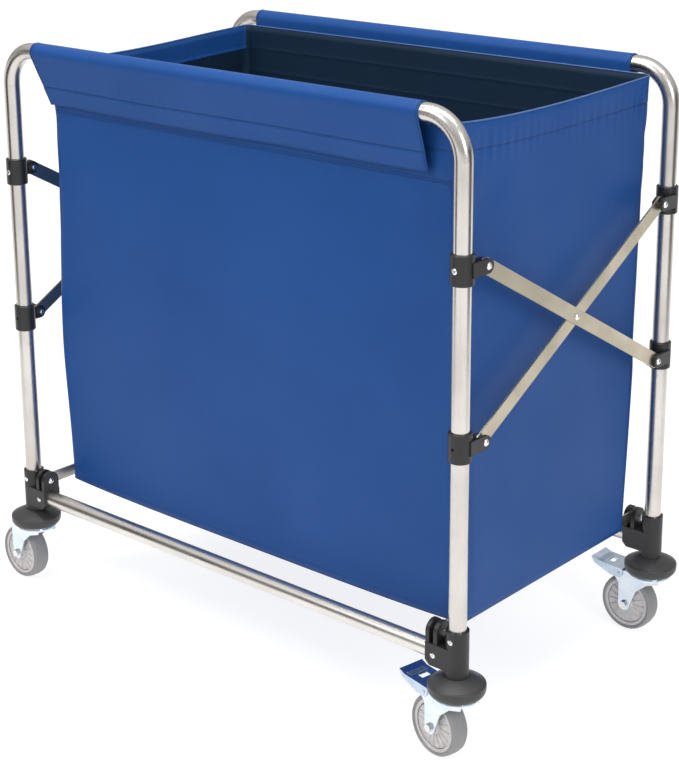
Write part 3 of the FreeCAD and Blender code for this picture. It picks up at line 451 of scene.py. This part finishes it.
bag = {
    "rimReach": 0.259,        # half the bag's depth at the rim, outer face
    "hemReach": 0.225,        # the same at the bottom hem
    "hemSag": 0.006,          # the lower edge of a wall hangs between its corners
    "endSag": 0.009,          # the rim of an end dips, most near the front
    "leftPull": 0.033,        # the left end is drawn in towards its front upper corner
    "pullHeights": (0.42, 0.90),    # the drawing in starts and is whole at these heights
    "pullDepths": (-0.22, 0.25),    # and at these places, counted towards the front
    "hemWidth": 0.042,        # stitch line below the rim
    "pocketLine": 0.086,      # the second line on the walls, below the rim
    "bottomLine": 0.014,      # a line pressed in above the bottom edge
    "slitFront": 0.448,       # the walls stop here below slitTop, where the right struts pass
    "slitTop": 0.486,
    "slitFade": 0.06,         # above slitTop the corner grows round over this height
    "sagFade": 0.16,          # the rim's dip dies out this far below it
    "hemFade": 0.12,          # and the hem's sag this far above it
    "besideBar": 0.0016,      # how far a wall may stand out beside its bar
    "cornerRadius": 0.009,
    "slitRadius": 0.0025,
    "clothThickness": 0.0014,
    "foldedDepth": 0.1898,    # what is left of the depth when the cart is folded
    "floorSag": 0.011,
    "rowStep": 0.0125,
    "columnStep": 0.0115,
    "endColumns": 80,
    "cornerSteps": 5,
    "floorColumns": 60,
    "floorRows": 32,
    "rippleHeight": 0.0022,
    "puckerHeight": 0.0014,
    "puckerLength": 0.019,
    "dragHeight": 0.0013,     # slanting drag lines at the upper corners
    "dragReach": 0.07,        # how far they run out from a corner
    "dragDepth": 0.10,        # their middle below the rim, and how far they fade above and below it
    "grooveDepth": 0.0005,
    "bottomGroove": 0.0002,
    "grooveWidth": 0.0022,
    "bandProud": 0.0006,      # the doubled hem round the ends' rim
}
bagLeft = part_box("bag_left_end")[0][0]
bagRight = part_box("bag_right_end")[1][0]
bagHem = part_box("bag_left_end")[0][2]
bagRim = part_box("bag_left_end")[1][2]
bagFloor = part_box("bag_floor")[0][2]


def smooth(value, low, high):
    share = min(max((value - low) / (high - low), 0.0), 1.0)
    return share * share * (3 - 2 * share)


def reachAt(height):
    share = (height - bagHem) / (bagRim - bagHem)
    return bag["hemReach"] + (bag["rimReach"] - bag["hemReach"]) * share


def spread(start, end, step):
    count = max(1, round(abs(end - start) / step))
    return [start + (end - start) * i / count for i in range(count)]


# one closed round of the section: (side, where along it), corners as turns from 0 to 1
def bagColumns():
    right = bagRight - bag["cornerRadius"]
    left = bagLeft + bag["cornerRadius"]
    walls = spread(left, bag["slitFront"], bag["columnStep"]) + [bag["slitFront"]]
    ends = [2 * i / bag["endColumns"] - 1 for i in range(bag["endColumns"] + 1)]
    turns = [i / bag["cornerSteps"] for i in range(1, bag["cornerSteps"])]
    columns = [("front", x) for x in walls] + [("front", right)]
    columns += [("frontRight", t) for t in turns]
    columns += [("right", share) for share in ends]
    columns += [("rearRight", t) for t in turns]
    columns += [("rear", right)] + [("rear", x) for x in reversed(walls)]
    columns += [("rearLeft", t) for t in turns]
    columns += [("left", -share) for share in ends]
    columns += [("frontLeft", t) for t in turns]
    return columns


# the left end's outer face, drawn in by the flap at its front upper corner
def leftFace(height, y):
    forward = smooth(-y, *bag["pullDepths"])
    return bagLeft + bag["leftPull"] * forward * smooth(height, *bag["pullHeights"])


# the outer face at this column and height: place and outward direction, level
def sectionSpot(column, height):
    side, along = column
    reach = reachAt(height)
    onRight = side.lower().endswith("right") or (side in ("front", "rear") and along > bag["slitFront"])
    radius = bag["cornerRadius"]
    if onRight:
        share = smooth(height, bag["slitTop"], bag["slitTop"] + bag["slitFade"])
        radius = bag["slitRadius"] + (bag["cornerRadius"] - bag["slitRadius"]) * share
    if side == "front":
        if onRight:
            return Vector((bagRight - radius, -reach, 0)), Vector((0, -1, 0))
        share = (bag["slitFront"] - along) / (bag["slitFront"] - bagLeft)
        drawn = along + (leftFace(height, -reach) - bagLeft) * share
        return Vector((drawn, -reach, 0)), Vector((0, -1, 0))
    if side == "rear":
        return Vector((bagRight - radius if onRight else along, reach, 0)), Vector((0, 1, 0))
    if side == "right":
        return Vector((bagRight, along * (reach - radius), 0)), Vector((1, 0, 0))
    if side == "left":
        y = along * (reach - radius)
        return Vector((leftFace(height, y), y, 0)), Vector((-1, 0, 0))
    starts = {"frontRight": -90, "rearRight": 0, "rearLeft": 90, "frontLeft": 180}
    angle = math.radians(starts[side] + 90 * along)
    outward = Vector((math.cos(angle), math.sin(angle), 0))
    y = (radius - reach) if "front" in side else (reach - radius)
    centre = Vector((bagRight - radius if "Right" in side else leftFace(height, y) + radius, y, 0))
    return centre + outward * radius, outward


# how far the rim lies below its highest point here
def rimDrop(spot):
    rearward = (spot.y / bag["rimReach"] + 1) / 2
    return bag["endSag"] * math.sin(math.pi * min(max(rearward, 0.0), 1.0) ** 0.75)


# how far the cloth stands out from the flat panel here
def swell(column, spot, height):
    side = column[0]
    along = spot.x if abs(spot.y) > 0.9 * reachAt(height) else spot.y
    seed = {"front": 1.7, "right": 5.2, "rear": 9.1, "left": 13.4}.get(side, 3.3)
    middle = smooth(height, bagHem, bagHem + bag["hemFade"]) * (1 - smooth(height, bagRim - 0.14, bagRim))
    broad = noise.noise(Vector((along * 3.1, height * 2.0, seed))) * bag["rippleHeight"] * 1.6 * middle
    fine = noise.noise(Vector((along * 14, height * 3.6, seed + 4))) * bag["rippleHeight"] * 0.35
    below = bagRim - height
    corner = reachAt(height) - abs(spot.y)
    if side in ("front", "rear"):
        corner = min(bagRight - spot.x, spot.x - bagLeft)
    drag = math.sin((corner * 0.8 + below * 1.1) * 62 + seed) * bag["dragHeight"]
    drag *= math.exp(-corner / bag["dragReach"])
    drag *= math.exp(-abs(below - bag["dragDepth"]) / bag["dragDepth"])
    pucker = math.sin(along * 2 * math.pi / bag["puckerLength"]
                      + 7 * noise.noise(Vector((along * 7, seed, 0))))
    pucker *= 0.4 + 1.2 * abs(noise.noise(Vector((along * 21, seed, 3))))
    pucker *= bag["puckerHeight"] * math.exp(-abs(below - bag["hemWidth"]) / 0.013)
    if side not in ("left", "right"):
        pucker *= 0.5
    return broad + fine + drag + pucker


# stitch lines pull the cloth in; the doubled hems stand a little proud
def groove(below, above, side):
    onWall = side in ("front", "rear")
    depth = 0.0
    for line in ([bag["hemWidth"], bag["pocketLine"]] if onWall else [bag["hemWidth"]]):
        depth -= bag["grooveDepth"] * math.exp(-((below - line) / bag["grooveWidth"]) ** 2)
    depth -= bag["bottomGroove"] * math.exp(-((above - bag["bottomLine"]) / bag["grooveWidth"]) ** 2)
    if not onWall:
        depth += bag["bandProud"] * (1 - smooth(below, bag["hemWidth"] - 0.001, bag["hemWidth"] + 0.001))
    return depth


def bagSpot(column, height, proud=0.0):
    spot, outward = sectionSpot(column, height)
    rimShare = smooth(height, bagRim - bag["sagFade"], bagRim)
    lift = 0.0
    if height > bagHem:
        lift = swell(column, spot, height) + groove(bagRim - height, height - bagHem, column[0])
    if column[0] in ("front", "rear"):
        lift *= 1 - 0.75 * smooth(height, bagRim - 0.03, bagRim)
        lift = min(lift, bag["besideBar"] + 0.02 * (1 - smooth(height, bagRim - 0.20, bagRim - 0.05)))
    if column[0] == "right" and height < bag["slitTop"] + 0.03:
        lift = max(lift, 0.0)
    drop = rimDrop(spot) * rimShare
    if column[0] in ("front", "rear"):
        inwards = (spot.x - bagLeft) / (bagRight - bagLeft)
        hang = 1 - min(max(2 * inwards - 1, -1.0), 1.0) ** 4
        drop += bag["hemSag"] * hang * (1 - smooth(height, bagHem, bagHem + bag["hemFade"]))
    return Vector((spot.x, spot.y, height - drop)) + outward * (lift + proud)


def bagRows():
    heights = spread(bagHem, bagRim, bag["rowStep"]) + [bagRim]
    for line in (bagRim - bag["hemWidth"], bagRim - bag["pocketLine"], bagHem + bag["bottomLine"]):
        heights = [h for h in heights if abs(h - line) > 0.006]
        heights += [line + step for step in (-0.005, -0.0025, -0.001, 0.0, 0.001, 0.0025, 0.005)]
    heights = [h for h in heights if abs(h - bag["slitTop"]) > 0.005] + [bag["slitTop"]]
    return sorted(heights)


def addSolidify(piece, thickness):
    wall = piece.modifiers.new("clothThickness", "SOLIDIFY")
    wall.thickness = thickness
    wall.offset = -1
    wall.material_offset = 1
    wall.use_even_offset = True


def makePiece(name, verts, faces, maps, materials, faceSlots=None):
    mesh = bpy.data.meshes.new(name)
    mesh.from_pydata(verts, [], faces)
    for material in materials:
        mesh.materials.append(material)
    layer = mesh.uv_layers.new(name="clothMap")
    for loop in mesh.loops:
        layer.data[loop.index].uv = maps[loop.vertex_index]
    if faceSlots:
        mesh.polygons.foreach_set("material_index", faceSlots)
    mesh.polygons.foreach_set("use_smooth", [True] * len(mesh.polygons))
    mesh.update()
    piece = bpy.data.objects.new(name, mesh)
    scene.collection.objects.link(piece)
    return piece


cloths = {
    "blueCloth": {"tone": (0.0115, 0.068, 0.256, 1), "deepTone": (0.0095, 0.060, 0.232, 1),
                  "paleTone": (0.03, 0.11, 0.34, 1), "gloss": (0.36, 0.46),
                  "threads": 1100.0, "weaveDepth": 0.00010},
    "navyLining": {"tone": (0.006, 0.021, 0.046, 1), "deepTone": (0.005, 0.017, 0.038, 1),
                   "paleTone": (0.015, 0.035, 0.07, 1), "gloss": (0.50, 0.62),
                   "threads": 900.0, "weaveDepth": 0.00006},
}
trims = {
    # the rim tube stands for the real folded edge; its blue, paler than the cloth, is a painted highlight
    "rimHighlightBinding": {"tone": (0.06, 0.13, 0.31, 1), "wornTone": (0.12, 0.22, 0.44, 1),
                    "gloss": (0.40, 0.55), "grains": 2200.0, "grainDepth": 0.00008},
    "seamThread": {"tone": (0.006, 0.020, 0.075, 1), "wornTone": (0.012, 0.035, 0.11, 1),
                   "gloss": (0.50, 0.65), "grains": 3000.0, "grainDepth": 0.00005},
}
blueCloth, navyLining = (makeCloth(name, **values) for name, values in cloths.items())
rimHighlightBinding, seamThread = (makeMoulded(name, **values) for name, values in trims.items())


# the walls stop below slitTop between the slit's edges
def slitOpen(column, height):
    side, along = column
    opened = side == "front" and along == bag["slitFront"]
    opened = opened or (side == "rear" and along > bag["slitFront"])
    return opened and height < bag["slitTop"] - 0.001


# slots: 0 is the wall, lined in navy, and 2 the band round the ends' rim, blue on both faces
def addWalls(verts, maps, faces, slots):
    columns = bagColumns()
    heights = bagRows()
    count = len(columns)
    lengths = [0.0]
    for i in range(1, count):
        step = sectionSpot(columns[i], bagRim)[0] - sectionSpot(columns[i - 1], bagRim)[0]
        lengths.append(lengths[-1] + step.length)
    for height in heights:
        verts += [bagSpot(column, height) for column in columns]
        maps += [(length, height) for length in lengths]
    for row in range(len(heights) - 1):
        for i in range(count):
            if slitOpen(columns[i], heights[row]):
                continue
            j = (i + 1) % count
            faces.append((row * count + i, row * count + j, (row + 1) * count + j, (row + 1) * count + i))
            sides = (columns[i][0], columns[j][0])
            high = heights[row] >= bagRim - bag["hemWidth"] - 0.003
            slots.append(2 if high and ("left" in sides or "right" in sides) else 0)


# the floor, hung between the walls a little above their hem
def addFloorCloth(verts, maps, faces, slots):
    base = len(verts)
    reach = reachAt(bagFloor) - 0.001
    left, right = bagLeft + 0.001, bag["slitFront"]
    across, deep = bag["floorColumns"], bag["floorRows"]
    for j in range(deep + 1):
        for i in range(across + 1):
            u, v = i / across * 2 - 1, j / deep * 2 - 1
            x = left + (right - left) * i / across
            y = reach * v
            sag = bag["floorSag"] * (1 - u ** 4) * (1 - v ** 4)
            rough = noise.noise(Vector((x * 9, y * 9, 2.0))) * 0.002 * (1 - u * u) * (1 - v * v)
            verts.append(Vector((x, y, bagFloor - sag + rough)))
            maps.append((x, y))
    for j in range(deep):
        for i in range(across):
            a = base + j * (across + 1) + i
            faces.append((a, a + across + 1, a + across + 2, a + 1))
            slots.append(0)


def buildBag():
    verts, maps, faces, slots = [], [], [], []
    addWalls(verts, maps, faces, slots)
    addFloorCloth(verts, maps, faces, slots)
    piece = makePiece("bag_shell", verts, faces, maps,
                      (blueCloth, navyLining, blueCloth, blueCloth), slots)
    addSolidify(piece, bag["clothThickness"])
    return piece


bagShell = buildBag()
print("bag shell:", len(bagShell.data.polygons), "faces")

# the flaps over the bars

flap = {
    "halfLength": 0.419,
    "barReach": 0.275,
    "barRadius": 0.014,
    "skin": 0.0017,           # outer face of the cloth above the bar
    "innerLeg": 0.022,        # below the bar's centre, between bar and wall
    "drop": 0.090,            # bottom edge below the bar's centre
    "bottomReach": 0.2635,    # the bottom edge swings in to the wall
    "hemWidth": 0.033,
    "leftShift": 0.017,       # how far each bottom corner lies to the right of the top one
    "rightShift": 0.001,
    "clothThickness": 0.0014,
    "columns": 110,
    "legSteps": 3,
    "barSteps": 18,
    "dropSteps": 9,
    "hemSteps": 5,
    "waveHeight": 0.0016,
    "droopHeight": 0.0018,
    "puckerHeight": 0.0006,
    "puckerLength": 0.024,
    "grooveDepth": 0.0008,
    "grooveWidth": 0.0018,
    "hemProud": 0.0007,
}
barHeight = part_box("front_top_frame")[1][2] - flap["barRadius"]


# outline from the inner leg over the bar to the bottom edge, as (place, outward) in reach and height,
# then where the straight drop starts and ends and the hem line's share of it
def flapProfile():
    radius = flap["barRadius"] + flap["skin"]
    centre = Vector((flap["barReach"], barHeight))
    foot = Vector((flap["bottomReach"], barHeight - flap["drop"]))
    toFoot = foot - centre
    downwards = math.atan2(toFoot.y, toFoot.x)
    turnEnd = downwards + math.acos(radius / toFoot.length)
    legTop = Vector((centre.x - radius, centre.y))
    points = []
    for i in range(flap["legSteps"]):
        below = flap["innerLeg"] * (1 - i / flap["legSteps"])
        points.append((legTop + Vector((0, -below)), Vector((-1, 0))))
    for i in range(flap["barSteps"] + 1):
        angle = math.pi + (turnEnd - math.pi) * i / flap["barSteps"]
        outward = Vector((math.cos(angle), math.sin(angle)))
        points.append((centre + outward * radius, outward))
    start, normal = points[-1]
    fall = (foot - start).length
    hemAt = 1 - flap["hemWidth"] / fall
    shares = [i / flap["dropSteps"] * hemAt for i in range(1, flap["dropSteps"])]
    shares += [hemAt + step / fall for step in (-0.004, -0.002, -0.0008, 0, 0.0008, 0.002, 0.004)]
    shares += [hemAt + (1 - hemAt) * i / flap["hemSteps"] for i in range(1, flap["hemSteps"] + 1)]
    for share in sorted(shares):
        points.append((start + (foot - start) * share, normal))
    return points, start, foot, hemAt


flapPoints, dropStart, dropFoot, hemShare = flapProfile()
dropLength = (dropFoot - dropStart).length


# face is -1 for the front flap and 1 for the rear one, along runs from -1 to 1
def flapSpot(point, along, face, proud=0.0):
    place, outward = point
    down = 0.0    # share of the straight drop above this point
    if outward.x > 0 and place.y < dropStart.y:
        down = (dropStart.y - place.y) / (dropStart.y - dropFoot.y)
    shift = flap["rightShift"] if along > 0 else flap["leftShift"]
    x = along * flap["halfLength"] + abs(along) ** 12 * shift * down
    wave = noise.noise(Vector((x * 7, down * 1.5, 4.0 + face))) * flap["waveHeight"] * down
    if down > 0:
        pucker = math.sin(x * 2 * math.pi / flap["puckerLength"]
                          + 4 * noise.noise(Vector((x * 8, 7.7, face))))
        wave += pucker * flap["puckerHeight"] * math.exp(-abs(down - hemShare) * dropLength / 0.012)
    wave -= flap["grooveDepth"] * math.exp(-((down - hemShare) * dropLength / flap["grooveWidth"]) ** 2)
    wave += flap["hemProud"] * smooth(down, hemShare, hemShare + 0.02)
    wave = max(wave, -0.0006) if down > 0.4 else wave * smooth(down, 0.0, 0.3)
    droop = noise.noise(Vector((x * 4, 1.0, face))) * flap["droopHeight"] * down
    spot = place + outward * (wave + proud)
    return Vector((x, face * spot.x, spot.y + droop))


def buildFlap(name, face):
    verts, maps, faces = [], [], []
    travelled = 0.0
    for row, point in enumerate(flapPoints):
        if row:
            travelled += (point[0] - flapPoints[row - 1][0]).length
        for i in range(flap["columns"] + 1):
            along = i / flap["columns"] * 2 - 1
            verts.append(flapSpot(point, along, face))
            maps.append((along * flap["halfLength"], travelled))
    wide = flap["columns"] + 1
    for row in range(len(flapPoints) - 1):
        for i in range(flap["columns"]):
            a = row * wide + i
            quad = (a, a + 1, a + wide + 1, a + wide)
            faces.append(quad if face > 0 else quad[::-1])
    piece = makePiece(name, verts, faces, maps, (blueCloth, blueCloth))
    addSolidify(piece, flap["clothThickness"])
    return piece, travelled


frontFlap, flapLength = buildFlap("front_flap", -1)
rearFlap, flapLength = buildFlap("rear_flap", 1)
print("flaps:", len(frontFlap.data.polygons), "faces each")

# seams and bindings, grown along lines

seam = {
    "stitchPitch": 0.0046,
    "stitchLength": 0.0036,
    "threadWidth": 0.0009,
    "proud": 0.0003,
    "doubleGap": 0.0045,      # between the two rows at the pocket line
    "cornerShare": 0.985,     # of an end's half width, for the corner seams
    "flapEdge": 0.993,        # of a flap's half length, for its end seams
}
binding = {"radius": 0.0013}


def startGeometryTree(name, inputs):
    tree = bpy.data.node_groups.new(name, "GeometryNodeTree")
    tree.interface.new_socket(name="Lines", in_out="INPUT", socket_type="NodeSocketGeometry")
    for label, kind in inputs:
        tree.interface.new_socket(name=label, in_out="INPUT", socket_type=kind)
    tree.interface.new_socket(name="Result", in_out="OUTPUT", socket_type="NodeSocketGeometry")
    return tree, tree.nodes.new("NodeGroupInput").outputs, tree.nodes.new("NodeGroupOutput")


def finishGeometryTree(tree, shape, material, out):
    real = addNode(tree, "GeometryNodeRealizeInstances", {0: shape}).outputs[0]
    smoothed = addNode(tree, "GeometryNodeSetShadeSmooth", {"Geometry": real}).outputs[0]
    painted = addNode(tree, "GeometryNodeSetMaterial", {"Geometry": smoothed, "Material": material})
    tree.links.new(painted.outputs[0], out.inputs["Result"])
    return tree


def stitchTree():
    tree, given, out = startGeometryTree("seamStitches", [
        ("Stitch pitch", "NodeSocketFloat"), ("Stitch length", "NodeSocketFloat"),
        ("Thread width", "NodeSocketFloat"), ("Thread finish", "NodeSocketMaterial")])
    curve = addNode(tree, "GeometryNodeMeshToCurve", {0: given["Lines"]}).outputs[0]
    paced = addNode(tree, "GeometryNodeResampleCurve", {"Curve": curve, "Length": given["Stitch pitch"]},
                    mode="LENGTH").outputs[0]
    tangent = addNode(tree, "GeometryNodeInputTangent").outputs[0]
    turn = addNode(tree, "FunctionNodeAlignRotationToVector", {"Vector": tangent}, axis="Z").outputs[0]
    bead = addNode(tree, "GeometryNodeMeshUVSphere", {"Segments": 6, "Rings": 4, "Radius": 0.5}).outputs[0]
    size = addNode(tree, "ShaderNodeCombineXYZ", {"X": given["Thread width"], "Y": given["Thread width"],
                                                  "Z": given["Stitch length"]}).outputs[0]
    row = addNode(tree, "GeometryNodeInstanceOnPoints",
                  {"Points": paced, "Instance": bead, "Rotation": turn, "Scale": size}).outputs[0]
    return finishGeometryTree(tree, row, given["Thread finish"], out)


def bindingTree():
    tree, given, out = startGeometryTree("edgeBindings", [
        ("Binding radius", "NodeSocketFloat"), ("Binding finish", "NodeSocketMaterial")])
    curve = addNode(tree, "GeometryNodeMeshToCurve", {0: given["Lines"]}).outputs[0]
    circle = addNode(tree, "GeometryNodeCurvePrimitiveCircle",
                     {"Resolution": 8, "Radius": given["Binding radius"]}).outputs[0]
    pipe = addNode(tree, "GeometryNodeCurveToMesh",
                   {"Curve": curve, "Profile Curve": circle, "Fill Caps": True}).outputs[0]
    return finishGeometryTree(tree, pipe, given["Binding finish"], out)


# lines are lists of points; a list that ends where it starts is a closed round
def growAlong(name, lines, tree, values):
    verts, edges = [], []
    for line in lines:
        base = len(verts)
        closed = (line[0] - line[-1]).length < 1e-7
        points = line[:-1] if closed else line
        verts += points
        edges += [(base + i, base + i + 1) for i in range(len(points) - 1)]
        if closed:
            edges.append((base + len(points) - 1, base))
    mesh = bpy.data.meshes.new(name + "Lines")
    mesh.from_pydata(verts, edges, [])
    piece = bpy.data.objects.new(name, mesh)
    scene.collection.objects.link(piece)
    grow = piece.modifiers.new("grow", "NODES")
    grow.node_group = tree
    for item in tree.interface.items_tree:
        if item.item_type == "SOCKET" and item.in_out == "INPUT" and item.name in values:
            grow[item.identifier] = values[item.name]
    evaluated = piece.evaluated_get(bpy.context.evaluated_depsgraph_get())
    grown = bpy.data.meshes.new_from_object(evaluated)
    piece.modifiers.remove(grow)
    piece.data = grown
    grown.name = name
    return piece


stitches = stitchTree()
bindings = bindingTree()
threadValues = {"Stitch pitch": seam["stitchPitch"], "Stitch length": seam["stitchLength"],
                "Thread width": seam["threadWidth"], "Thread finish": seamThread}
bindingValues = {"Binding radius": binding["radius"], "Binding finish": rimHighlightBinding}


# the bag's outline at one height; with sides, one open line for each
def roundLine(height, sides=None, proud=seam["proud"]):
    columns = bagColumns()
    if sides is None:
        line = [bagSpot(column, height, proud) for column in columns]
        return [line + [line[0]]]
    return [[bagSpot(c, height, proud) for c in columns if c[0] == side] for side in sides]


def cornerLine(side, share):
    return [bagSpot((side, share), height, seam["proud"]) for height in bagRows()]


bagLines = roundLine(bagRim - bag["hemWidth"])
bagLines += roundLine(bagRim - bag["pocketLine"], ("front", "rear"))
bagLines += roundLine(bagRim - bag["pocketLine"] - seam["doubleGap"], ("front", "rear"))
for side in ("left", "right"):
    bagLines += [cornerLine(side, seam["cornerShare"]), cornerLine(side, -seam["cornerShare"])]
bagStitches = growAlong("bag_stitches", bagLines, stitches, threadValues)
# the rim tube is the folded edge, coloured paler blue as a painted highlight along it
rimLine = roundLine(bagRim, proud=-bag["clothThickness"] / 2)
bagRimHighlight = growAlong("bag_rim_highlight_binding", rimLine, bindings, bindingValues)


def flapLines(face):
    hemPoint = (dropStart + (dropFoot - dropStart) * hemShare, flapPoints[-1][1])
    lines = [[flapSpot(hemPoint, i / 60 - 1, face, seam["proud"]) for i in range(121)]]
    overBar = flapPoints[flap["legSteps"]:]
    for along in (-seam["flapEdge"], seam["flapEdge"]):
        lines.append([flapSpot(point, along, face, seam["proud"]) for point in overBar])
    return lines


frontFlapStitches = growAlong("front_flap_stitches", flapLines(-1), stitches, threadValues)
rearFlapStitches = growAlong("rear_flap_stitches", flapLines(1), stitches, threadValues)
print("seams and bindings grown:", len(bagStitches.data.polygons), "thread faces on the bag")

# what moves with what

for piece in (bagShell, bagStitches, bagRimHighlight):
    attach(piece, "front_frame")
    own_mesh(piece)
for piece, body in ((frontFlap, "front_frame"), (frontFlapStitches, "front_frame"),
                    (rearFlap, "rear_frame"), (rearFlapStitches, "rear_frame")):
    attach(piece, body)
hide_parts("bag_front_panel", "bag_rear_panel", "bag_left_end", "bag_right_end", "bag_floor")
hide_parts("bag_front_flap")
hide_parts("bag_rear_flap")
